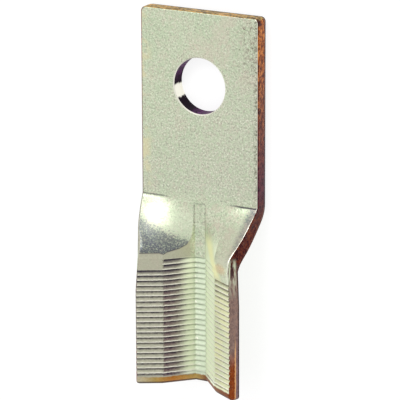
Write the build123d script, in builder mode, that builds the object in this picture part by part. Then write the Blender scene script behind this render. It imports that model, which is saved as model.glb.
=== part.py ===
from build123d import *

from math import atan2, cos, pi, radians, sin, sqrt, tan
import os

# An adapter terminal stamped and folded from one strip of plated copper. It lies on its
# back: X across the strip, Y along it towards the palm's free end, Z up out of the
# serrated side. The origin is the centre of the bolt hole on the back face.

# Driving dimensions in mm: the flat palm
strip_width = 30.0
strip_thickness = 3.7
hole_diameter = 13.0
hole_to_end = 17.0        # hole centre to the free end
hole_to_bend = 26.8       # hole centre to the line where the sides start to rise
corner_radius = 1.2       # plan corners of the free end
edge_roll = 0.35          # rounding that the punch leaves along the front edges
breakout_height = 1.0     # how far up the sides the torn zone of the sheared edge reaches
breakout_inset = 0.15     # how far that zone leans in at the back face
hole_break = 0.25         # softened front rim of the hole, where the punch went in

# The folded end: a narrow flat valley, a steep leg each side of it, then a flatter flange
fold_length = 43.8        # bend line to the lower end
valley_width = 2.6
leg_length = 7.8
leg_angle = 46.4          # degrees up from the palm
flange_angle = 30.1
flange_spread = 0.28      # how much wider the serrating die squeezes each flange
flange_draw_in = 0.25     # how much narrower each flange is where the ramp ends
spread_run = 8.0          # length over which it widens below the ramp
wing_thickness = 2.95     # legs and flanges, thinned by the serrating die
press_depth = 0.15        # how far that die sinks its flat faces into the drawn strip
ridge_rounding = 1.5      # how far the round back of the valley reaches either way

# The ramp that leads from the flat palm into the fold, drawn smooth without a crease
ramp_run = 11.2           # bend line to where the wings would reach full height
top_front_radius = 1.0    # hollow side of the upper bend
top_back_radius = 5.0
low_front_radius = 6.5
low_back_radius = 0.8     # hollow side of the lower bend
ramp_valley_rounding = 1.2    # how far the soft foot of the ramp reaches either way
ramp_crease_rounding = 4.5    # the same for the soft shoulder above it, where the ramp starts
least_rounding = 0.3      # what is left of that shoulder where the crease has formed
ramp_roll = 1.1           # widest rounding of the ramp's front edges
ramp_belly = 0.5          # how far the half-folded edges stand outside a straight ramp
channel_start = 0.75      # bend line to the square end of the die's mark in the valley

# The serrations that grip the wire
first_groove = 13.4       # bend line to the first groove, on the legs
plain_rows = 2            # rows that the legs have before the flanges start
groove_pitch = 1.245
groove_depth = 0.45
steep_run = 0.18          # length of a tooth's steep side
gentle_run = 0.95         # length of its long side

# The lower end
end_rounding = 1.9        # front edge of the cut end
end_back_rounding = 0.5
end_corner_radius = 1.0   # plan corners of the cut end

# Where the lofted forms have a section, and how far the cutters overlap the faces they cut
ramp_fractions = (0.15, 0.4, 0.65, 0.88)   # stations along the ramp
end_fractions = (0.0, 0.3, 0.55, 0.75, 0.88, 0.96, 1.0)   # stations along the rounded end
groove_overlap = 0.05     # the groove's cutter starts and ends this far above the face
cutter_height = 0.8       # how far the cutters stand proud of the face

# Worked out from the above
half_width = strip_width / 2
half_valley = valley_width / 2
flange_length = half_width - half_valley - leg_length


def along(angle):
    """Unit step across the strip, climbing at an angle in degrees."""
    return Vector(cos(radians(angle)), sin(radians(angle)))


def across(angle):
    """Unit step out of the front face where the strip climbs at an angle."""
    return Vector(-sin(radians(angle)), cos(radians(angle)))


def miter(angle_a, angle_b):
    """Step that moves a bend line when both its faces move out by one unit."""
    both = across(angle_a) + across(angle_b)
    return both * (1 / (1 + across(angle_a).dot(across(angle_b))))


def folded_front(height=0.0, spread=flange_spread):
    """Valley, crease and edge points of the pressed fold, moved out of its front face."""
    base = Vector(half_valley, strip_thickness - press_depth)
    crease = base + along(leg_angle) * leg_length
    edge = crease + along(flange_angle) * (flange_length + spread)
    return [
        base + miter(0, leg_angle) * height,
        crease + miter(leg_angle, flange_angle) * height,
        edge + across(flange_angle) * height,
    ]


def folded_back(thickness_cut, spread=flange_spread):
    """The same three points on the back, where the valley's back stays in the palm's plane."""
    ridge, crease, edge = folded_front(thickness_cut - wing_thickness, spread)
    down_the_leg = (crease.Y - thickness_cut) / sin(radians(leg_angle))
    ridge = crease - along(leg_angle) * down_the_leg
    return [ridge, crease, edge]


def flat_points(height):
    """The three points before folding."""
    return [Vector(x, height) for x in (half_valley, half_valley + leg_length, half_width)]


# The drawn strip stands proud of the pressed fold, and climbs this far along the ramp
rise = folded_front(press_depth, -flange_draw_in)[-1].Y - strip_thickness
ramp_angle = atan2(rise, ramp_run)
back_shift = strip_thickness * tan(ramp_angle / 2)


def half_folded(flat, folded, share):
    """Points on their way from flat to folded, with the crease and the edge bulging out."""
    points = [a + (b - a) * share for a, b in zip(flat, folded)]
    bulge = ramp_belly * 4 * share * (1 - share)
    points[1] += Vector(bulge / 2, 0)
    points[2] += Vector(bulge, 0)
    return points


def bend_height(distance, turn_start, turn_end, start_radius, end_radius):
    """Height of a face that leaves one level, climbs the ramp and joins the next level."""
    slope = tan(ramp_angle)
    start_reach = start_radius * tan(ramp_angle / 2)
    end_reach = end_radius * tan(ramp_angle / 2)
    into = distance - (turn_start - start_reach)
    left = (turn_end + end_reach) - distance
    full = (turn_end - turn_start) * slope
    if into <= 0:
        return 0.0
    if left <= 0:
        return full
    if into < start_radius * sin(ramp_angle):
        return start_radius - sqrt(start_radius**2 - into**2)
    if left < end_radius * sin(ramp_angle):
        return full - (end_radius - sqrt(end_radius**2 - left**2))
    return (distance - turn_start) * slope


def front_share(distance):
    """How far the front face has folded, from 0 to 1, at a distance below the bend line."""
    return bend_height(distance, 0, ramp_run, top_front_radius, low_front_radius) / rise


def back_share(distance):
    """The same for the back face, which bends a little further down."""
    turn_end = back_shift + ramp_run
    return bend_height(distance, back_shift, turn_end, top_back_radius, low_back_radius) / rise


def stretch(start, towards, length):
    """Point at a length from a start towards another point."""
    return start + (towards - start).normalized() * length


def rounded_edge(before, corner, after, radius):
    """Arc that rounds a square corner."""
    start = stretch(corner, before, radius)
    finish = stretch(corner, after, radius)
    middle = corner + ((start + finish) * 0.5 - corner) * (2 - sqrt(2))
    return ThreePointArc(start, middle, finish)


def cut_plane(distance):
    """Upright plane across the strip at a distance below the bend line."""
    return Plane.XZ.offset(hole_to_bend + distance)


def crisp_front(valley, crease):
    """Front of one half as the die leaves it, up to the crease."""
    return [Line((0, valley.Y), valley), Line(valley, crease)]


def drawn_front(valley, crease, edge, crease_rounding):
    """Front of one half where the strip is only drawn, with a soft foot and shoulder."""
    foot = [Vector(valley.X - ramp_valley_rounding, valley.Y), valley]
    foot.append(stretch(valley, crease, ramp_valley_rounding))
    shoulder = [stretch(crease, valley, crease_rounding), crease]
    shoulder.append(stretch(crease, edge, crease_rounding))
    return [
        Line((0, valley.Y), foot[0]),
        Bezier(*foot),
        Line(foot[-1], shoulder[0]),
        Bezier(*shoulder),
    ]


def strip_section(distance, front_edges, edge, back, roll, torn_height=breakout_height):
    """The strip cut straight across, from the inner part of its front, its edge and its back."""
    ridge, back_crease, back_edge = back
    inner = front_edges[-1] @ 1
    rolled = rounded_edge(inner, edge, back_edge, roll)
    torn_start = stretch(back_edge, edge, torn_height)
    torn_end = stretch(back_edge, back_crease, breakout_inset)
    ridge_start = stretch(ridge, back_crease, ridge_rounding)
    ridge_end = ridge - Vector(min(ridge_rounding, ridge.X * 0.9), 0)
    # Kept as loose edges, because the flat strip's edges in line have to stay apart
    right_half = [
        *front_edges,
        Line(inner, rolled @ 0),
        rolled,
        Line(rolled @ 1, torn_start),
        Line(torn_start, torn_end),
        Line(torn_end, back_crease),
        Line(back_crease, ridge_start),
        Bezier(ridge_start, ridge, ridge_end),
        Line(ridge_end, (0, ridge.Y)),
    ]
    left_half = [edge.mirror(Plane.YZ) for edge in right_half]
    return cut_plane(distance) * Face(Wire(right_half + left_half))


def ramp_section(distance):
    """The half-folded strip part-way down the ramp."""
    share = front_share(distance)
    drawn = folded_front(press_depth, -flange_draw_in)
    valley, crease, edge = half_folded(flat_points(strip_thickness), drawn, share)
    drawn_back = folded_back(0, -flange_draw_in)
    back = half_folded(flat_points(0), drawn_back, back_share(distance))
    widening = (ramp_roll - edge_roll) * sin(pi * share**6)
    roll = edge_roll + press_depth * share + widening
    softness = min(ramp_crease_rounding, 0.9 * (flange_length - ramp_roll))
    crease_rounding = least_rounding + (softness - least_rounding) * (1 - share**4)
    return strip_section(distance, drawn_front(valley, crease, edge, crease_rounding), edge, back, roll)


def trough_section(distance, front_drop=0.0, back_drop=0.0, inset=0.0, spread=flange_spread):
    """The full fold, with its front and back faces lowered and its edges brought in."""
    valley, crease, edge = folded_front(-front_drop, spread)
    back = folded_back(back_drop, spread)
    edge = stretch(edge, crease, inset)
    back[2] = stretch(back[2], back[1], inset)
    torn_height = breakout_height * (1 - (front_drop + back_drop) / wing_thickness)
    return strip_section(distance, crisp_front(valley, crease), edge, back, edge_roll, torn_height)


# The palm, with its rounded plan corners, rolled front edges and torn back edges
half_turn = tan(ramp_angle / 2)
top_bend_reach = top_front_radius * half_turn
ramp_top = min(-top_bend_reach, back_shift - top_back_radius * half_turn)
palm_length = hole_to_end + hole_to_bend + ramp_top
with BuildPart() as palm:
    with BuildSketch(Plane.XY):
        with Locations((0, hole_to_end - palm_length / 2)):
            Rectangle(strip_width, palm_length)
    extrude(amount=strip_thickness)
    free_end = palm.faces().sort_by(Axis.Y)[-1]
    fillet(free_end.edges().filter_by(Axis.Z), corner_radius)
    front_rim = palm.faces().sort_by(Axis.Z)[-1].edges().sort_by(Axis.Y)[1:]
    fillet(front_rim, edge_roll)
    back_face = palm.faces().sort_by(Axis.Z)[0]
    back_rim = back_face.edges().sort_by(Axis.Y)[1:]
    chamfer(back_rim, length=breakout_inset, length2=breakout_height, reference=back_face)

# The ramp, through sections that fold up step by step
ramp_front_end = ramp_run + low_front_radius * half_turn
ramp_back_end = back_shift + ramp_run + low_back_radius * half_turn
trough_top = max(ramp_front_end, ramp_back_end)
middle_stations = [ramp_run * share for share in ramp_fractions]
stations = [ramp_top, -top_bend_reach, top_bend_reach, *middle_stations, ramp_run, trough_top]


def front_band(distance, depth, with_flanges=True):
    """Band that follows the pressed front face, from a depth below it to above it."""
    low = folded_front(-depth)
    high = folded_front(cutter_height)
    if with_flanges:
        low[2] += along(flange_angle) * cutter_height
        high[2] += along(flange_angle) * cutter_height
    else:
        low.pop()
        high.pop()
    with BuildLine() as outline:
        Polyline((0, low[0].Y), *low, *reversed(high), (0, high[0].Y))
        mirror(about=Plane.YZ)
    return cut_plane(distance) * Face(outline.wire())


with BuildPart() as die:
    extrude(front_band(channel_start, 0), amount=trough_top, dir=(0, -1, 0))
with BuildPart() as ramp:
    loft([ramp_section(distance) for distance in stations])
    add(die.part, mode=Mode.SUBTRACT)

# The trough below the ramp, which widens first and then runs straight
rounding_start = fold_length - end_rounding
spread_end = trough_top + spread_run
with BuildPart() as trough:
    loft([trough_section(trough_top, spread=-flange_draw_in), trough_section(spread_end)], ruled=True)
    extrude(trough_section(spread_end), amount=rounding_start - spread_end, dir=(0, -1, 0))


def drop(distance, radius):
    """How far a rounded edge has fallen away at a distance below the bend line."""
    over = min(distance - (fold_length - radius), radius)
    return radius - sqrt(radius**2 - over**2) if over > 0 else 0.0


def tip_section(distance):
    """The fold near its lower end, thinner and narrower by what its edges round off."""
    front_drop = drop(distance, end_rounding)
    back_drop = drop(distance, end_back_rounding)
    return trough_section(distance, front_drop, back_drop, drop(distance, end_corner_radius))


# The lower end, where all the edges round off together
with BuildPart() as tip:
    tip_sections = [tip_section(rounding_start + part * end_rounding) for part in end_fractions]
    loft(tip_sections, ruled=True)

# One groove of the serrations: a steep side above, a long side below
groove_profile = [
    (first_groove, -groove_overlap),
    (first_groove + steep_run, groove_depth),
    (first_groove + steep_run + gentle_run, -groove_overlap),
]
with BuildPart() as leg_groove:
    loft([front_band(*step, with_flanges=False) for step in groove_profile], ruled=True)
with BuildPart() as full_groove:
    loft([front_band(*step) for step in groove_profile], ruled=True)

rows = int((rounding_start - first_groove) / groove_pitch)
leg_rows = [(0, -row * groove_pitch, 0) for row in range(plain_rows)]
full_rows = [(0, -row * groove_pitch, 0) for row in range(plain_rows, rows)]

# The whole strip
with BuildPart() as terminal_strip:
    add(palm.part)
    add(ramp.part)
    add(trough.part)
    add(tip.part)
    with Locations((0, 0, strip_thickness)):
        Hole(hole_diameter / 2)
    rims = terminal_strip.edges(Select.LAST).filter_by(GeomType.CIRCLE)
    chamfer(rims.sort_by(Axis.Z)[-1], hole_break)
    with Locations(*leg_rows):
        add(leg_groove.part, mode=Mode.SUBTRACT)
    with Locations(*full_rows):
        add(full_groove.part, mode=Mode.SUBTRACT)

terminal_strip.part.label = "terminal_strip"
os.makedirs("parts", exist_ok=True)
export_step(terminal_strip.part, "parts/terminal_strip.step")
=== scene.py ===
from math import cos, radians, sin

import bpy
from mathutils import Matrix, Vector

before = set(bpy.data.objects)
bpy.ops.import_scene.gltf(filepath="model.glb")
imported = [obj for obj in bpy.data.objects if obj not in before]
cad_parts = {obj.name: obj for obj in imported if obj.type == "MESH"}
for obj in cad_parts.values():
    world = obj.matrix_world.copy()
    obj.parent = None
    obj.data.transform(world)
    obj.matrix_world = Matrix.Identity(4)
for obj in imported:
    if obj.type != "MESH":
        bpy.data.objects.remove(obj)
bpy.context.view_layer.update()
scene = bpy.context.scene
scene.view_settings.view_transform = "Standard"
mm = 0.001
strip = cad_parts["terminal_strip"]

# Camera: where the photograph was taken from, seen from the middle of the bend line
cameraLook = {
    "azimuth": 28.74,        # degrees round to the right of straight ahead
    "elevation": 16.24,      # degrees up along the palm
    "roll": -0.20,
    "distance": 674.4,       # mm
    "lens": 267.4,
    "nearest": 0.05,         # m, nothing closer than this is drawn
    "target": (0.15, -26.52, 3.743),
}


def placeCamera(look):
    azimuth = radians(look["azimuth"])
    elevation = radians(look["elevation"])
    roll = radians(look["roll"])
    towards = Vector((sin(azimuth) * cos(elevation), sin(elevation), cos(azimuth) * cos(elevation)))
    right = (-towards).cross(Vector((0, 1, 0))).normalized()
    up = right.cross(-towards)
    rolledRight = right * cos(roll) + up * sin(roll)
    rolledUp = up * cos(roll) - right * sin(roll)
    place = Vector(look["target"]) + towards * look["distance"]
    camera = bpy.data.objects.new("camera", bpy.data.cameras.new("camera"))
    camera.data.lens = look["lens"]
    camera.data.clip_start = look["nearest"]
    turn = Matrix((rolledRight, rolledUp, towards)).transposed().to_4x4()
    camera.matrix_world = Matrix.Translation(place * mm) @ turn
    scene.collection.objects.link(camera)
    scene.camera = camera


placeCamera(cameraLook)
print("camera placed")


# Short ways to add nodes to a material. A mask is a number from 0 to 1.
class Nodes:
    def __init__(self, tree):
        self.tree = tree

    def add(self, kind, **settings):
        node = self.tree.nodes.new(kind)
        for name, value in settings.items():
            setattr(node, name, value)
        return node

    def plug(self, socket, value):
        if isinstance(value, bpy.types.NodeSocket):
            self.tree.links.new(value, socket)
        elif socket.type == "RGBA" and len(value) == 3:
            socket.default_value = (*value, 1)
        else:
            socket.default_value = value

    def split(self, vector):
        node = self.add("ShaderNodeSeparateXYZ")
        self.plug(node.inputs[0], vector)
        return node.outputs

    def math(self, operation, first, second=0.0):
        node = self.add("ShaderNodeMath", operation=operation)
        self.plug(node.inputs[0], first)
        self.plug(node.inputs[1], second)
        return node.outputs[0]

    def plus(self, first, second):
        return self.math("ADD", first, second)

    def minus(self, first, second):
        return self.math("SUBTRACT", first, second)

    def times(self, first, second):
        return self.math("MULTIPLY", first, second)

    # a noise as a push to both sides, half of reach each way
    def push(self, noise, reach):
        return self.times(self.minus(noise, 0.5), reach)

    # a soft step from low to high, which may also run downwards
    def step(self, value, low, high, outLow=0.0, outHigh=1.0):
        node = self.add("ShaderNodeMapRange", interpolation_type="SMOOTHSTEP")
        self.plug(node.inputs["Value"], value)
        self.plug(node.inputs["From Min"], low)
        self.plug(node.inputs["From Max"], high)
        self.plug(node.inputs["To Min"], outLow)
        self.plug(node.inputs["To Max"], outHigh)
        return node.outputs["Result"]

    # 1 between the two middle numbers, and fading to 0 at the outer ones
    def band(self, value, outLow, inLow, inHigh, outHigh):
        return self.both(self.step(value, outLow, inLow), self.step(value, outHigh, inHigh))

    # 1 on a line at centre, and fading to 0 at reach to both sides
    def line(self, value, centre, reach, core):
        return self.step(self.math("ABSOLUTE", self.minus(value, centre)), reach, core)

    def both(self, *masks):
        result = masks[0]
        for mask in masks[1:]:
            result = self.times(result, mask)
        return result

    def either(self, *masks):
        result = masks[0]
        for mask in masks[1:]:
            result = self.math("MAXIMUM", result, mask)
        return result

    def mix(self, share, first, second):
        node = self.add("ShaderNodeMix", data_type="RGBA")
        self.plug(node.inputs["Factor"], share)
        self.plug(node.inputs["A"], first)
        self.plug(node.inputs["B"], second)
        return node.outputs["Result"]

    # one colour over another, as far as all its masks let it
    def lay(self, under, colour, *masks):
        return self.mix(self.both(*masks), under, colour)

    def ramp(self, value, stops):
        node = self.add("ShaderNodeValToRGB")
        self.plug(node.inputs["Fac"], value)
        band = node.color_ramp
        while len(band.elements) < len(stops):
            band.elements.new(0.5)
        for element, (place, colour) in zip(band.elements, stops):
            element.position = place
            element.color = (*colour, 1)
        return node.outputs["Color"]

    def noise(self, place, scale, detail, roughness, stretch=(1, 1, 1)):
        mapping = self.add("ShaderNodeMapping")
        self.plug(mapping.inputs["Vector"], place)
        self.plug(mapping.inputs["Scale"], stretch)
        node = self.add("ShaderNodeTexNoise")
        self.plug(node.inputs["Vector"], mapping.outputs["Vector"])
        self.plug(node.inputs["Scale"], scale)
        self.plug(node.inputs["Detail"], detail)
        self.plug(node.inputs["Roughness"], roughness)
        return node.outputs["Fac"]


# Floor: white around the part, with its soft shadow kept
floorLook = {
    "reach": 1.2,            # m to each side
    "paint": (0.9, 0.9, 0.9),
    "ownWhite": 0.80,        # white that doesn't depend on the light
    "litShare": 0.27,        # and how much of the lit paint is added to it
}


def paintFloor(look):
    paint = bpy.data.materials.new("whiteFloor")
    paint.use_nodes = True
    paint.node_tree.nodes.clear()
    nodes = Nodes(paint.node_tree)
    lit = nodes.add("ShaderNodeBsdfDiffuse")
    nodes.plug(lit.inputs["Color"], look["paint"])
    seen = nodes.add("ShaderNodeBsdfDiffuse")
    nodes.plug(seen.inputs["Color"], (look["litShare"],) * 3)
    glow = nodes.add("ShaderNodeEmission")
    nodes.plug(glow.inputs["Strength"], look["ownWhite"])
    together = nodes.add("ShaderNodeAddShader")
    nodes.plug(together.inputs[0], seen.outputs[0])
    nodes.plug(together.inputs[1], glow.outputs[0])
    ray = nodes.add("ShaderNodeLightPath").outputs
    asSeen = nodes.either(ray["Is Camera Ray"], ray["Is Glossy Ray"], ray["Is Transmission Ray"])
    choice = nodes.add("ShaderNodeMixShader")
    nodes.plug(choice.inputs[0], asSeen)
    nodes.plug(choice.inputs[1], lit.outputs[0])
    nodes.plug(choice.inputs[2], together.outputs[0])
    output = nodes.add("ShaderNodeOutputMaterial")
    nodes.plug(output.inputs["Surface"], choice.outputs[0])
    return paint


def makeFloor(look):
    reach = look["reach"]
    corners = [(-reach, -reach, 0), (reach, -reach, 0), (reach, reach, 0), (-reach, reach, 0)]
    mesh = bpy.data.meshes.new("floor")
    mesh.from_pydata(corners, [], [(0, 1, 2, 3)])
    mesh.materials.append(paintFloor(look))
    floor = bpy.data.objects.new("floor", mesh)
    scene.collection.objects.link(floor)


makeFloor(floorLook)
print("floor laid")

# Studio: pale all round, a little dimmer to the right, and a softbox beyond the palm
studioLook = {
    "leftLevel": 0.92,
    "rightLevel": 0.80,
    "fade": (-0.7, 0.6),     # how far left the one level ends, and how far right the other starts
    "softbox": {"at": (-0.17, 0.62, 0.74), "aim": (0, -0.03, 0.01), "size": (0.42, 0.34), "power": 2.15},
}


def lightStudio(look):
    world = bpy.data.worlds.new("studio")
    scene.world = world
    world.use_nodes = True
    nodes = Nodes(world.node_tree)
    background = world.node_tree.nodes["Background"]
    sideways = nodes.split(nodes.add("ShaderNodeTexCoord").outputs["Generated"])["X"]
    level = nodes.step(sideways, *look["fade"], look["leftLevel"], look["rightLevel"])
    grey = nodes.add("ShaderNodeCombineColor")
    for channel in ("Red", "Green", "Blue"):
        nodes.plug(grey.inputs[channel], level)
    nodes.plug(background.inputs["Color"], grey.outputs["Color"])
    box = look["softbox"]
    lamp = bpy.data.objects.new("softbox", bpy.data.lights.new("softbox", "AREA"))
    lamp.data.shape = "RECTANGLE"
    lamp.data.size, lamp.data.size_y = box["size"]
    lamp.data.energy = box["power"]
    lamp.location = box["at"]
    lamp.rotation_euler = (Vector(box["aim"]) - Vector(box["at"])).to_track_quat("-Z", "Y").to_euler()
    scene.collection.objects.link(lamp)


lightStudio(studioLook)
print("studio lit")

# Strip: dull tin plating over copper, with the metal laid bare where it was sheared.
# Lengths in mm, in the frame of the part.
stripLook = {
    "tin": (0.64, 0.70, 0.51),
    "tinGreen": (0.57, 0.67, 0.46),
    "tinWarm": (0.68, 0.65, 0.50),
    "tinShade": (0.55, 0.56, 0.45),
    "tinPink": (0.66, 0.58, 0.47),
    "tinStraw": (0.80, 0.72, 0.44),
    "grainDark": (0.30, 0.30, 0.25),
    "grainLight": (0.90, 0.94, 0.78),
    "pit": (0.10, 0.06, 0.05),
    "paintedHighlight": (0.98, 0.96, 0.84),      # painted highlight on edges, crests, the bend and in the hole
    "root": (0.035, 0.022, 0.050),     # painted shade in the grooves and along the fine lines
    "paintedShadeRight": (0.15, 0.12, 0.08),
    "paintedShadeLeg": (0.20, 0.21, 0.13),
    "legPurple": (0.20, 0.12, 0.13),       # purple brown on the steep left leg, stronger towards the crease and lower down
    "darkReflection": (0.095, 0.10, 0.14),     # painted dark reflection at the drawn ramp's left foot and right edge
    "bright": (0.93, 1.0, 0.76),       # painted highlight on the legs and on the left of the ramp
    "valleyTone": (0.68, 0.76, 0.59),
    "foldTone": (0.51, 0.48, 0.37),    # the left of the fold, a little browner than the palm; also painted shade on the ramp's outer right
    "straw": (1.0, 0.99, 0.56),
    "rust": (0.80, 0.36, 0.10),
    "sideHigh": (0.46, 0.12, 0.020),   # bare copper at the palm's free end
    "sideMiddle": (0.27, 0.080, 0.045),
    "sideLow": (0.115, 0.024, 0.050),
    "sideRamp": (0.13, 0.028, 0.018),
    "sideFold": (0.30, 0.20, 0.17),
    "sideTorn": (0.25, 0.16, 0.17),
    "sideEnd": (0.28, 0.060, 0.012),
    "copperLight": (0.90, 0.42, 0.12),
    "tornLine": (0.95, 0.55, 0.22),
    "endGold": (0.50, 0.35, 0.11),
    "endOrange": (0.50, 0.20, 0.04),
    "endBrown": (0.30, 0.13, 0.06),
    # oxide in marks and the nick; also painted shade on the rims and in the bend's painted reflection
    "oxideAndShade": (0.020, 0.004, 0.012),
    "holeBlack": (0.012, 0.004, 0.012),
    "holePurple": (0.125, 0.024, 0.135),
    # tones of the bare sides, from the low end (0) to the free end (1)
    "sideTones": (
        (0.0, "sideEnd"), (0.09, "sideEnd"), (0.14, "sideFold"), (0.33, "sideFold"), (0.37, "sideRamp"),
        (0.48, "sideRamp"), (0.54, "sideLow"), (0.75, "sideMiddle"), (0.95, "sideHigh"),
    ),
    # tones of the low end, from the left (0) to the right (1)
    "endTones": (
        (0.0, "tinWarm"), (0.18, "endGold"), (0.30, "endOrange"), (0.46, "endGold"), (0.56, "endBrown"),
        (0.80, "endBrown"), (1.0, "sideEnd"),
    ),
    # how strongly each layer covers what lies under it, with two numbers where that changes along it
    "shares": {
        "warm": 0.8, "shade": 0.6, "grainDark": 0.88, "grainLight": 0.95, "pink": 0.50, "green": 0.75,
        "pits": 0.85, "edgePits": 0.7, "browned": 0.35, "strawEdge": 0.6,
        "darkReflectionLeft": (0.74, 0.92), "darkReflectionRight": 0.82, "sparks": 0.3, "drawn": 0.35, "warmRamp": 0.45,
        "rightRampShade": 0.35, "dieLine": 0.7, "channel": (0.50, 0.16), "bendDark": (0.6, 0.85),
        "bendBright": (0.2, 0.5), "fold": 0.75, "leftShine": 0.95, "leftPurple": (0.3, 1.0),
        "rightLegHighlight": (0.45, 0.9), "strawFlange": (0.25, 0.6), "crests": (0.15, 0.9), "beads": 0.8,
        "streak": 0.9, "rust": 0.38, "paintedHighlight": 0.9, "leftEdgeShade": (0.6, 0.95),
        "darkMarks": 0.88, "lightMarks": (0.60, 0.06), "tinSpecks": 0.4, "tornLine": 0.75,
        "bendReflectionDark": 0.7, "smearLeft": (0.5, 0.9), "endRim": 0.8, "backRim": 0.85, "nick": 0.85,
    },
    # the patterns of tin and copper: scale per mm, detail, roughness and stretch
    "noises": {
        "blotches": (0.16, 3, 0.55),
        "tints": (0.30, 4, 0.6, (1, 0.6, 1)),
        "coarse": (1.1, 4, 0.7),
        "mottling": (1.5, 4, 0.75),
        "speckle": (2.4, 4, 0.85),
        "fineGrain": (9, 2, 0.6),
        "edgePits": (1.6, 3, 0.7),
        "strawEdge": (0.25, 3, 0.6),
        "sparks": (4.5, 3, 0.8),
        "warmRamp": (0.4, 4, 0.7),
        "bendLine": (0.5, 2, 0.5),
        "lowEnd": (0.7, 3, 0.5),
        "sideMarks": (1.5, 4, 0.7, (1.2, 0.4, 1.2)),
        "endMarks": (1.5, 4, 0.7, (0.4, 1.2, 1.2)),
        "fineMarks": (1.9, 3, 0.8),
        "bendStreaks": (0.85, 3, 0.6, (1.6, 0.30, 1.6)),
    },
    "metallic": 0.85,
    "highlightScatters": 0.55,            # how much less metallic the painted highlights over the right leg and streak are
    "tinRoughness": (0.29, 0.38),
    "bareRougher": 0.16,               # what bare metal and the valley add to that
    "valleyRougher": 0.25,
    "bump": {"strength": 0.6, "grain": 0.040, "fineGrain": 0.008, "marks": 0.12},
    "length": 87.6,
    "halfWidth": 15.0,
    "lowEnd": -70.6,
    "holeRadius": 6.5,
    "holePatch": (-0.58, -0.50, -0.10, -0.02),     # angles of the painted reflection patch in the hole, in radians
    "bendLine": -26.8,
    "rampLength": 12.5,
    "foldStart": -39.5,
    "foldHalfWidth": 13.0,
    "creaseAt": 6.68,                  # from the middle to the crease of the folded part
    "flangeBack": (0.865, 0.5015, 1.52),   # the back's slope, up and across, and where it starts
    "legBack": (0.69, 0.724, -1.44),
    # the curved line where the die's flat faces start: from the middle, below the bend line
    "dieLine": (
        (1.3, 6.0), (1.9, 8.55), (2.6, 10.35), (3.9, 11.175), (5.9, 11.775), (6.5, 12.225), (7.4, 11.925),
        (15.0, 12.0),
    ),
    "firstTooth": -40.2,
    "plainRows": 2,                    # rows that the flanges start later than the legs
    "toothPitch": 1.245,
    "lastTooth": -68.3,
    "tornAt": 1.25,                    # height of the torn line over the flange's back
    "channel": {"side": 1.45, "top": 0.75},        # from the middle, and below the bend line
    "footDarkReflection": {"slope": 0.43, "middle": 9.6},    # upper edge of the film at the ramp's left foot
    "streak": {"slope": 0.65, "start": 2.4, "halfWidth": 2.3, "down": (6.5, 10.0, 14.5, 17.0)},
    "rustAt": (8.9, -39.9),
    "nick": {"x": (14.0, 14.5), "y": (14.9, 15.6), "z": (2.3, 3.0)},
}


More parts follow.
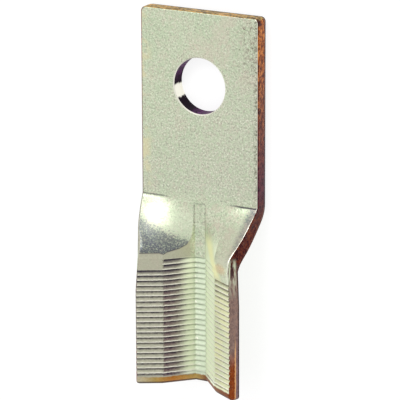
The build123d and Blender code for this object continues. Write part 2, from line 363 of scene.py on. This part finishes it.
# Where each feature of the strip lies, as masks and distances that the layers of its finish share
class Places:
    def __init__(self, nodes, look):
        coordinates = nodes.add("ShaderNodeTexCoord").outputs
        inMillimetres = nodes.add("ShaderNodeVectorMath", operation="SCALE")
        nodes.plug(inMillimetres.inputs[0], coordinates["Object"])
        nodes.plug(inMillimetres.inputs["Scale"], 1 / mm)
        self.place = inMillimetres.outputs[0]
        self.x, self.y, self.z = nodes.split(self.place)
        self.nx, self.ny, self.nz = nodes.split(coordinates["Normal"])
        self.noises = look["noises"]
        self.blotches = self.noise(nodes, "blotches")
        self.coarse = self.noise(nodes, "coarse")
        self.mottling = self.noise(nodes, "mottling")
        self.speckle = self.noise(nodes, "speckle")
        self.findStretches(nodes, look)
        self.findCuts(nodes, look)
        self.findMarks(nodes)
        self.findHole(nodes, look)
        self.findDieLine(nodes, look)
        self.findBack(nodes, look)
        self.findTeeth(nodes, look)
        self.findRightHighlights(nodes, look)

    def noise(self, nodes, name):
        return nodes.noise(self.place, *self.noises[name])

    # stretches of the strip along and across it
    def findStretches(self, nodes, look):
        ramp = look["rampLength"]
        crease = look["creaseAt"]
        foldStart = look["foldStart"]
        self.fromMiddle = nodes.math("ABSOLUTE", self.x)
        self.depth = nodes.minus(look["bendLine"], self.y)      # below the bend line
        self.front = nodes.step(self.nz, 0.1, 0.3)
        self.onLeft = nodes.step(self.x, 1.0, -1.0)
        self.onRight = nodes.step(self.x, -1.0, 1.0)
        self.onPalm = nodes.step(self.depth, 1.0, -3.0)
        self.alongRamp = nodes.band(self.depth, -0.5, 1.0, ramp - 1, ramp + 1)
        self.inFold = nodes.step(self.y, foldStart + 1, foldStart - 1)
        self.onLeg = nodes.step(self.fromMiddle, crease + 0.08, crease - 0.08)
        self.nearEdge = nodes.step(self.fromMiddle, 10.6, 11.0)

    # where the strip was sheared: its sides and both ends
    def findCuts(self, nodes, look):
        top = look["lowEnd"] + look["length"]
        lastTooth = look["lastTooth"]
        outward = nodes.times(self.nx, nodes.math("SIGN", self.x))
        # along the ramp and on the left, bare metal reaches further round the edge
        further = nodes.plus(nodes.times(self.alongRamp, 0.20), nodes.times(self.onLeft, 0.14))
        self.edgeTurn = nodes.plus(outward, nodes.times(further, nodes.step(outward, -0.02, 0.08)))
        notBack = nodes.step(self.nz, -0.45, -0.3)
        self.sides = nodes.both(nodes.step(self.edgeTurn, 0.34, 0.46), notBack, self.nearEdge)
        self.freeEnd = nodes.both(nodes.step(self.ny, 0.5, 0.7), nodes.step(self.y, top - 3, top - 2))
        raggedY = nodes.plus(self.y, nodes.times(self.noise(nodes, "lowEnd"), 0.5))
        self.lowEnd = nodes.step(raggedY, lastTooth + 0.15, lastTooth - 0.15)
        self.sheared = nodes.either(self.sides, self.freeEnd, self.lowEnd)

    # shear marks run along the sides and across the ends
    def findMarks(self, nodes):
        onSides = self.noise(nodes, "sideMarks")
        onEnds = self.noise(nodes, "endMarks")
        atEnds = nodes.either(self.freeEnd, self.lowEnd)
        drawnOut = nodes.plus(onSides, nodes.times(atEnds, nodes.minus(onEnds, onSides)))
        fine = self.noise(nodes, "fineMarks")
        self.marks = nodes.plus(nodes.times(drawnOut, 0.55), nodes.times(fine, 0.45))

    # the hole's wall and rim, and the patch of its wall with a painted reflection
    def findHole(self, nodes, look):
        radius = look["holeRadius"]
        squares = nodes.plus(nodes.times(self.x, self.x), nodes.times(self.y, self.y))
        fromAxis = nodes.math("SQRT", squares)
        wall = nodes.band(self.nz, -0.75, -0.45, 0.40, 0.60)
        rim = nodes.band(self.nz, 0.45, 0.60, 0.93, 0.97)
        self.inHole = nodes.both(nodes.step(fromAxis, radius + 0.4, radius + 0.1), wall)
        self.holeRim = nodes.both(nodes.step(fromAxis, radius + 0.5, radius + 0.35), rim)
        self.holeAngle = nodes.math("ARCTAN2", self.y, nodes.times(self.x, -1))
        ragged = nodes.plus(self.holeAngle, nodes.push(self.coarse, 0.25))
        self.holeReflection = nodes.both(nodes.band(ragged, *look["holePatch"]), self.onLeft)

    # height above the curved line of the die
    def findDieLine(self, nodes, look):
        half = look["halfWidth"]
        stops = [(across / half, (down / half,) * 3) for across, down in look["dieLine"]]
        curve = nodes.ramp(nodes.times(self.fromMiddle, 1 / half), stops)
        self.aboveFlat = nodes.minus(nodes.times(curve, half), self.depth)

    # height over a sloping back
    def overBack(self, nodes, up, across, start):
        slope = nodes.minus(nodes.times(self.z, up), nodes.times(self.fromMiddle, across))
        return nodes.minus(slope, start)

    def findBack(self, nodes, look):
        self.overFlange = self.overBack(nodes, *look["flangeBack"])
        self.overLeg = self.overBack(nodes, *look["legBack"])
        self.tornEdge = nodes.plus(self.overFlange, nodes.push(self.mottling, 0.5))

    def findTeeth(self, nodes, look):
        first = look["firstTooth"]
        last = look["lastTooth"]
        pitch = look["toothPitch"]
        flangeFirst = first - look["plainRows"] * pitch
        onLegs = nodes.both(self.onLeg, nodes.step(self.y, first + 0.1, first))
        onFlanges = nodes.step(self.y, flangeFirst + 0.1, flangeFirst)
        aboveLast = nodes.step(self.y, last - 0.1, last)
        self.inField = nodes.both(nodes.either(onFlanges, onLegs), aboveLast, self.front)
        rows = nodes.times(nodes.minus(first, self.y), 1 / pitch)
        self.inTooth = nodes.math("FRACT", nodes.plus(rows, nodes.push(self.coarse, 0.35)))

    # where highlights are painted on the right: over the right leg, and in a straw-tinted streak up it
    def findRightHighlights(self, nodes, look):
        right = nodes.both(self.front, self.onRight)
        reached = nodes.both(nodes.step(self.depth, 6.0, 11.0), nodes.step(self.fromMiddle, 1.0, 2.0))
        strength = nodes.step(self.onLeg, 0, 1, *look["shares"]["rightLegHighlight"])
        lower = nodes.either(self.onLeg, self.inField, nodes.step(self.depth, 9.5, 12.0, 0, 0.9))
        self.rightHighlight = nodes.both(right, reached, strength, lower)
        streak = look["streak"]
        middle = nodes.minus(nodes.times(self.depth, streak["slope"]), streak["start"])
        across = nodes.line(self.x, middle, streak["halfWidth"], 0.4)
        self.streak = nodes.both(right, across, nodes.band(self.depth, *streak["down"]))


# Soft blotches of green, straw and pink, fine grain, and painted shade over the palm
def blendTin(nodes, at, look):
    share = look["shares"]
    tints = at.noise(nodes, "tints")
    shade = nodes.step(nodes.minus(at.x, at.y), -23.33, 30)      # painted shade, growing towards the lower right
    tin = nodes.mix(nodes.step(at.blotches, 0.36, 0.64), look["tinGreen"], look["tin"])
    tin = nodes.lay(tin, look["tinWarm"], nodes.step(tints, 0.48, 0.70), share["warm"])
    tin = nodes.lay(tin, look["tinShade"], at.onPalm, shade, share["shade"])
    tin = nodes.lay(tin, look["grainDark"], nodes.step(at.speckle, 0.50, 0.35), share["grainDark"])
    tin = nodes.lay(tin, look["grainLight"], nodes.step(at.speckle, 0.50, 0.65), share["grainLight"])
    tin = nodes.lay(tin, look["tinPink"], nodes.step(at.mottling, 0.52, 0.66), share["pink"])
    return nodes.lay(tin, look["tinGreen"], nodes.step(at.mottling, 0.52, 0.36), share["green"])


# Pits, most of them at the palm's upper right, and browned and straw patches
def pitTin(nodes, at, look, tin):
    share = look["shares"]
    upperRight = nodes.both(nodes.step(at.x, -4, 14), nodes.step(at.y, -8, 8), at.front)
    uneven = nodes.plus(at.coarse, nodes.push(at.speckle, 0.6))
    pits = nodes.step(nodes.plus(uneven, nodes.times(upperRight, 0.25)), 0.84, 0.90)
    tin = nodes.lay(tin, look["pit"], pits, share["pits"])
    nearSide = nodes.both(at.front, nodes.step(at.x, 7.5, 15.5), nodes.band(at.y, -4, 7, 13, 17))
    sparse = nodes.step(at.noise(nodes, "edgePits"), 0.535, 0.60)
    tin = nodes.lay(tin, look["pit"], nearSide, sparse, share["edgePits"])
    onEdge = nodes.both(at.front, nodes.step(at.x, 13.4, 14.3), nodes.step(at.y, -30, -20))
    tin = nodes.lay(tin, look["pit"], onEdge, nodes.step(at.mottling, 0.50, 0.43), share["edgePits"])
    byHole = nodes.both(at.front, nodes.step(at.x, -4, 4), nodes.step(at.y, -2, 6))
    brown = nodes.step(nodes.plus(at.blotches, nodes.push(at.coarse, 0.5)), 0.47, 0.60)
    tin = nodes.lay(tin, look["tinPink"], byHole, brown, share["browned"])
    leftEdge = nodes.both(at.onPalm, nodes.step(at.x, -11.5, -14.0))
    strawy = nodes.step(at.noise(nodes, "strawEdge"), 0.48, 0.62)
    return nodes.lay(tin, look["tinStraw"], leftEdge, strawy, share["strawEdge"])


# The drawn ramp: a painted dark reflection at its left foot and right edge, a painted highlight and a warm
# tint between, and painted shade on its outer right
def lightAndShadeRamp(nodes, at, look, tin):
    share = look["shares"]
    aboveLine = nodes.step(at.aboveFlat, -0.08, 0.08)
    besideChannel = nodes.step(at.fromMiddle, 1.2, 1.5)
    inRamp = nodes.both(at.front, besideChannel, nodes.step(at.depth, -0.2, 0.2), aboveLine)
    left = nodes.both(inRamp, at.onLeft)
    right = nodes.both(inRamp, at.onRight)
    ragged = nodes.push(at.speckle, 11.0)
    darkening = look["footDarkReflection"]      # its upper edge runs down to the right
    reflectionLine = nodes.plus(nodes.times(at.x, darkening["slope"]), darkening["middle"])
    below = nodes.minus(at.depth, reflectionLine)
    footEdge = nodes.plus(nodes.math("MINIMUM", below, 1.6), ragged)
    foot = nodes.both(left, nodes.step(footEdge, 0.4, 1.6))
    # painted dark reflection at the ramp's left foot
    tin = nodes.lay(tin, look["darkReflection"], foot, nodes.step(below, 0.0, 4.5, *share["darkReflectionLeft"]))
    outwards = nodes.minus(nodes.plus(at.fromMiddle, nodes.times(at.depth, 0.2)), 13.0)
    edge = nodes.both(right, nodes.step(nodes.plus(outwards, nodes.times(ragged, 0.7)), -0.5, 0.9))
    # painted dark reflection along the ramp's right edge
    tin = nodes.lay(tin, look["darkReflection"], edge, share["darkReflectionRight"])
    sparks = nodes.step(at.noise(nodes, "sparks"), 0.54, 0.64)
    tin = nodes.lay(tin, look["grainLight"], nodes.either(foot, edge), sparks, share["sparks"])
    # painted highlight on the ramp's left, beside the channel
    inner = nodes.both(nodes.step(at.fromMiddle, 9.0, 5.0), nodes.step(at.depth, 1.0, 4.0))
    tin = nodes.lay(tin, look["bright"], left, inner, nodes.step(foot, 0.3, 0.0), share["drawn"])
    warm = nodes.step(at.noise(nodes, "warmRamp"), 0.46, 0.60)
    tin = nodes.lay(tin, look["tinPink"], right, warm, share["warmRamp"])
    # painted shade on the ramp's outer right
    outer = nodes.both(nodes.step(at.fromMiddle, 4.0, 9.0), nodes.step(at.depth, 1.5, 6.0))
    return nodes.lay(tin, look["foldTone"], right, outer, share["rightRampShade"])


# Fine lines of painted shade under the ramp, round the channel and along the bend, and a painted highlight
# just below the bend
def drawLines(nodes, at, look, tin):
    share = look["shares"]
    # painted shade along the line under the ramp
    underRamp = nodes.both(nodes.step(at.fromMiddle, 2.0, 3.2), nodes.line(at.aboveFlat, 0, 0.26, 0.08))
    tin = nodes.lay(tin, look["root"], at.front, at.onLeft, underRamp, share["dieLine"])
    # painted shadow lines round the channel
    side, top = look["channel"]["side"], look["channel"]["top"]
    channelSides = nodes.line(at.fromMiddle, side, 0.30, 0.08)
    channelSides = nodes.both(channelSides, nodes.band(at.depth, top - 0.15, top + 0.15, 5, 11))
    channelTop = nodes.step(at.fromMiddle, side + 0.15, side - 0.05)
    channelTop = nodes.both(channelTop, nodes.line(at.depth, top, 0.30, 0.08))
    channel = nodes.both(at.front, nodes.either(channelSides, channelTop))
    tin = nodes.lay(tin, look["root"], channel, nodes.step(at.speckle, 0.3, 0.6, *share["channel"]))
    # painted shade along the bend, and a painted highlight just below it
    outer = nodes.both(at.front, nodes.step(at.fromMiddle, 6.5, 11.0))
    bend = nodes.plus(at.depth, nodes.push(at.noise(nodes, "bendLine"), 0.3))
    dark = nodes.both(nodes.line(bend, -0.05, 0.26, 0.10), nodes.step(at.x, -1, 1, *share["bendDark"]))
    tin = nodes.lay(tin, look["root"], outer, dark)
    light = nodes.both(nodes.line(bend, 0.50, 0.30, 0.15), at.onLeft)
    broken = nodes.step(at.speckle, 0.4, 0.5, *share["bendBright"])
    return nodes.lay(tin, look["paintedHighlight"], outer, light, broken)


# The fold: browner on its left, purple brown on its left leg, painted highlights on both legs, and a straw
# tint on its right
def toneFold(nodes, at, look, tin):
    share = look["shares"]
    flatFace = nodes.both(nodes.step(at.aboveFlat, 0.08, -0.08), nodes.step(at.fromMiddle, 1.4, 2.4))
    tin = nodes.lay(tin, look["foldTone"], at.front, at.onLeft, flatFace, share["fold"])
    leftLeg = nodes.both(at.inField, at.onLeft, at.onLeg)
    # painted highlight on the left leg beside the valley
    tin = nodes.lay(tin, look["bright"], leftLeg, nodes.step(at.fromMiddle, 4.6, 2.4), share["leftShine"])
    purpleEdge = nodes.plus(at.fromMiddle, nodes.push(at.coarse, 3.0))
    darkening = nodes.both(nodes.step(purpleEdge, 2.4, 5.8), nodes.step(at.y, -40.5, -50.0, *share["leftPurple"]))
    patchy = nodes.step(at.mottling, 0.35, 0.60, 0.95, 0.70)
    lessOnCrests = nodes.step(at.inTooth, 0.55, 0.95, 1.0, 0.45)
    tin = nodes.lay(tin, look["legPurple"], leftLeg, darkening, patchy, lessOnCrests)
    # painted highlight over the right leg
    tin = nodes.lay(tin, look["bright"], at.rightHighlight)
    rightFlange = nodes.both(at.inField, at.onRight, nodes.step(at.fromMiddle, 6.4, 7.0))
    strawy = nodes.step(at.blotches, 0.35, 0.6, *share["strawFlange"])
    tin = nodes.lay(tin, look["straw"], rightFlange, strawy)
    return nodes.lay(tin, look["valleyTone"], at.inField, nodes.step(at.fromMiddle, 2.1, 0.9))


# Serrations: painted shade in the roots, painted highlights on the crests, and beads of painted highlight
# beside the valley.
# In a tooth, 0 is the top of its groove and 1 the top of the next.
def shadeAndLightTeeth(nodes, at, look, tin):
    share = look["shares"]
    # painted shade in the roots of the grooves
    flangeEnd = nodes.step(at.y, -50, -43, 0.48, 0.80)
    rightEnd = nodes.step(at.onLeg, 0, 1, flangeEnd, 0.50)
    leftEnd = nodes.step(at.y, -50, -42, 0.72, 0.92)
    shadeEnd = nodes.step(nodes.times(at.x, -1), 1.5, 5.5, rightEnd, leftEnd)
    dashes = nodes.step(at.mottling, 0.34, 0.60, 1.0, nodes.step(at.y, -48, -43, 0.60, 0.95))
    groove = nodes.both(nodes.step(at.inTooth, shadeEnd, 0.18), nodes.step(at.inTooth, 0.02, 0.08))
    lessOnRight = nodes.step(at.onLeg, 0, 1, 1.0, nodes.step(at.x, 3.0, -4.0, 0.85, 1.0))
    fullFrom = nodes.step(at.x, -1, 1, 5.0, 3.2)
    lessInValley = nodes.step(at.fromMiddle, 0.8, fullFrom, 0.30, 1.0)
    rightRoot = nodes.mix(at.onLeg, look["paintedShadeRight"], look["paintedShadeLeg"])
    rootColour = nodes.mix(at.onRight, look["root"], rightRoot)
    tin = nodes.lay(tin, rootColour, at.inField, groove, dashes, lessOnRight, lessInValley)
    # painted highlight on the crests
    crest = nodes.both(at.inField, nodes.step(at.inTooth, 0.78, 0.90))
    tin = nodes.lay(tin, look["paintedHighlight"], crest, nodes.step(at.fromMiddle, 1.0, 4.0, *share["crests"]))
    # beads of painted highlight beside the valley
    besideValley = nodes.both(at.inField, at.onLeft, nodes.step(at.fromMiddle, 2.6, 1.9))
    beads = nodes.both(nodes.step(at.mottling, 0.50, 0.62), nodes.step(at.inTooth, 0.45, 0.7))
    return nodes.lay(tin, look["paintedHighlight"], besideValley, beads, share["beads"])


# A straw-tinted painted highlight streaked up the right leg, and a rust spot where its teeth start
def highlightAndRustRightLeg(nodes, at, look, tin):
    share = look["shares"]
    # a straw-tinted painted highlight streaked up the right leg
    tin = nodes.lay(tin, look["straw"], at.streak, share["streak"])
    rustX, rustY = look["rustAt"]
    across = nodes.times(nodes.minus(at.x, rustX), 0.6)
    along = nodes.minus(at.y, rustY)
    away = nodes.plus(nodes.times(across, across), nodes.times(along, along))
    spot = nodes.step(nodes.plus(away, nodes.times(at.speckle, 4.0)), 4.2, 1.8)
    return nodes.lay(tin, look["rust"], at.front, at.onRight, spot, share["rust"])


# Rounded edges: a painted highlight on the right, along the ramp and round the hole, and painted shade on
# the left
def highlightAndShadeEdges(nodes, at, look, tin):
    share = look["shares"]
    # painted highlight on the rounded edges of the right, the ramp and the hole's rim
    turned = nodes.band(at.edgeTurn, 0.12, 0.22, 0.34, 0.44)
    roll = nodes.both(turned, nodes.step(at.nz, 0.3, 0.5), at.nearEdge)
    bright = nodes.either(nodes.both(roll, nodes.either(at.onRight, at.alongRamp)), at.holeRim)
    tin = nodes.lay(tin, look["paintedHighlight"], bright, share["paintedHighlight"])
    # painted shade on the left's rounded edge
    dark = nodes.both(roll, at.onLeft, nodes.step(at.alongRamp, 1, 0))
    return nodes.lay(tin, look["sideLow"], dark, nodes.step(at.depth, 0, 14, *share["leftEdgeShade"]))


# Bare copper: grey brown in the fold, dark on the ramp, orange towards the free end, gold on both ends
def toneCopper(nodes, at, look):
    half = look["foldHalfWidth"]
    along = nodes.times(nodes.minus(at.y, look["lowEnd"]), 1 / look["length"])
    copper = nodes.ramp(along, [(place, look[tone]) for place, tone in look["sideTones"]])
    tornBack = nodes.step(at.tornEdge, look["tornAt"] + 0.05, look["tornAt"] - 0.15)
    copper = nodes.lay(copper, look["sideTorn"], at.inFold, nodes.step(at.y, -50, -62), tornBack)
    across = nodes.times(nodes.plus(at.x, half), 1 / (2 * half))
    endTone = nodes.ramp(across, [(place, look[tone]) for place, tone in look["endTones"]])
    copper = nodes.lay(copper, endTone, at.lowEnd, nodes.step(at.edgeTurn, 0.34, 0.2))
    return nodes.lay(copper, look["endGold"], at.freeEnd)


# Shear marks, dark and light, specks of tin, and the torn line near the low end
def markCopper(nodes, at, look, copper):
    share = look["shares"]
    dark = nodes.step(at.marks, 0.53, 0.42)
    weaker = nodes.both(nodes.step(at.lowEnd, 0, 1, 1.0, 0.5), nodes.step(at.inFold, 0, 1, 1.0, 0.35))
    copper = nodes.lay(copper, look["oxideAndShade"], dark, weaker, share["darkMarks"])
    light = nodes.step(at.marks, 0.51, 0.59)
    fadingDown = nodes.step(at.depth, -38, -6, *share["lightMarks"])
    copper = nodes.lay(copper, look["copperLight"], light, fadingDown)
    copper = nodes.lay(copper, look["tinWarm"], nodes.step(at.speckle, 0.56, 0.74), share["tinSpecks"])
    torn = nodes.both(nodes.step(at.y, -54, -60), nodes.line(at.tornEdge, look["tornAt"], 0.22, 0.05))
    return nodes.lay(copper, look["tornLine"], at.sides, torn, share["tornLine"])


# A painted reflection in light and dark streaks at the bend of the sides, and tin smeared over the copper
# on the left of the ramp
def bendReflectionAndSmear(nodes, at, look, copper):
    share = look["shares"]
    # painted reflection at the bend of the sides, in light and dark streaks
    atBend = nodes.both(nodes.band(at.y, -47, -40.5, -38.4, -36.6), nodes.step(at.overFlange, 0.4, 1.2))
    streaks = at.noise(nodes, "bendStreaks")
    copper = nodes.lay(copper, look["tin"], atBend, nodes.step(streaks, 0.40, 0.58))
    copper = nodes.lay(copper, look["oxideAndShade"], atBend, nodes.step(streaks, 0.46, 0.38), share["bendReflectionDark"])
    uneven = nodes.step(at.speckle, 0.35, 0.55, *share["smearLeft"])
    return nodes.lay(copper, look["tinShade"], at.onLeft, at.alongRamp, uneven)


# Painted shade on the rims, under the low end and along the back, and oxide in the nick of the upper right
# corner
def darkenRims(nodes, at, look, copper):
    share = look["shares"]
    # painted shade under the low end's rounding
    downwards = nodes.minus(at.ny, nodes.times(at.onRight, 0.12))
    endRim = nodes.both(nodes.step(downwards, -0.50, -0.62), nodes.step(at.ny, -0.995, -0.95))
    copper = nodes.lay(copper, look["oxideAndShade"], endRim, share["endRim"])
    # painted shade along the back's rims
    palmBack = nodes.both(nodes.step(at.z, 0.85, 0.35), nodes.step(at.y, -30, -26))
    endBack = nodes.both(at.freeEnd, nodes.step(at.z, 1.0, 0.5))
    foldBack = nodes.both(at.inFold, nodes.step(nodes.either(at.overFlange, at.overLeg), 0.70, 0.25))
    backRim = nodes.either(palmBack, endBack, foldBack)
    copper = nodes.lay(copper, look["oxideAndShade"], backRim, share["backRim"])
    nick = look["nick"]
    upToCorner = nodes.both(nodes.step(at.x, *nick["x"]), nodes.step(at.y, *nick["y"]))
    return nodes.lay(copper, look["oxideAndShade"], upToCorner, nodes.step(at.z, *nick["z"]), share["nick"])


# Hole: painted shade in black and purple, and a painted reflection as the bright patch
def shadeAndLightHole(nodes, at, look):
    # painted shade on the hole's wall, black, with purple above and below
    aboveAndBelow = nodes.either(nodes.step(at.holeAngle, -0.1, 0.6), nodes.step(at.holeAngle, -1.0, -1.5))
    purple = nodes.both(aboveAndBelow, nodes.step(at.coarse, 0.38, 0.55))
    dark = nodes.mix(purple, look["holeBlack"], look["holePurple"])
    # painted reflection as the bright patch
    return nodes.mix(at.holeReflection, dark, look["paintedHighlight"])


# Shine: the right's painted highlights scatter more light than they mirror, and the hole's painted dark
# wall mirrors hardly any
def setShine(nodes, at, look, shader):
    scattered = nodes.times(nodes.either(at.rightHighlight, at.streak), look["highlightScatters"])
    darkWall = nodes.both(at.inHole, nodes.minus(1.0, at.holeReflection))
    metal = nodes.either(nodes.minus(look["metallic"], scattered), at.sheared, at.inHole)
    nodes.plug(shader.inputs["Metallic"], nodes.both(metal, nodes.minus(1.0, darkWall)))
    nodes.plug(shader.inputs["Specular IOR Level"], nodes.step(darkWall, 0, 1, 0.5, 0.02))
    roughness = nodes.step(at.blotches, 0.3, 0.7, *look["tinRoughness"])
    roughness = nodes.plus(roughness, nodes.times(at.sheared, look["bareRougher"]))
    inValley = nodes.both(at.inField, nodes.step(at.fromMiddle, 2.2, 1.2))
    roughness = nodes.plus(roughness, nodes.times(inValley, look["valleyRougher"]))
    nodes.plug(shader.inputs["Roughness"], roughness)


# Bump: grain everywhere, and shear marks in the bare metal
def raiseGrain(nodes, at, look, shader):
    size = look["bump"]
    fineGrain = at.noise(nodes, "fineGrain")
    height = nodes.plus(nodes.times(at.speckle, size["grain"]), nodes.times(fineGrain, size["fineGrain"]))
    height = nodes.plus(height, nodes.both(at.sheared, nodes.times(at.marks, size["marks"])))
    bump = nodes.add("ShaderNodeBump")
    nodes.plug(bump.inputs["Height"], height)
    nodes.plug(bump.inputs["Strength"], size["strength"])
    nodes.plug(bump.inputs["Distance"], mm)
    nodes.plug(shader.inputs["Normal"], bump.outputs["Normal"])


def finishStrip(piece, look):
    material = bpy.data.materials.new("tinnedCopper")
    material.use_nodes = True
    nodes = Nodes(material.node_tree)
    shader = material.node_tree.nodes["Principled BSDF"]
    at = Places(nodes, look)
    tin = blendTin(nodes, at, look)
    for layer in (pitTin, lightAndShadeRamp, drawLines, toneFold, shadeAndLightTeeth, highlightAndRustRightLeg, highlightAndShadeEdges):
        tin = layer(nodes, at, look, tin)
    copper = toneCopper(nodes, at, look)
    for layer in (markCopper, bendReflectionAndSmear, darkenRims):
        copper = layer(nodes, at, look, copper)
    plated = nodes.mix(at.sheared, tin, copper)
    nodes.plug(shader.inputs["Base Color"], nodes.mix(at.inHole, plated, shadeAndLightHole(nodes, at, look)))
    setShine(nodes, at, look, shader)
    raiseGrain(nodes, at, look, shader)
    piece.data.materials.clear()
    piece.data.materials.append(material)


finishStrip(strip, stripLook)
print("strip finished")
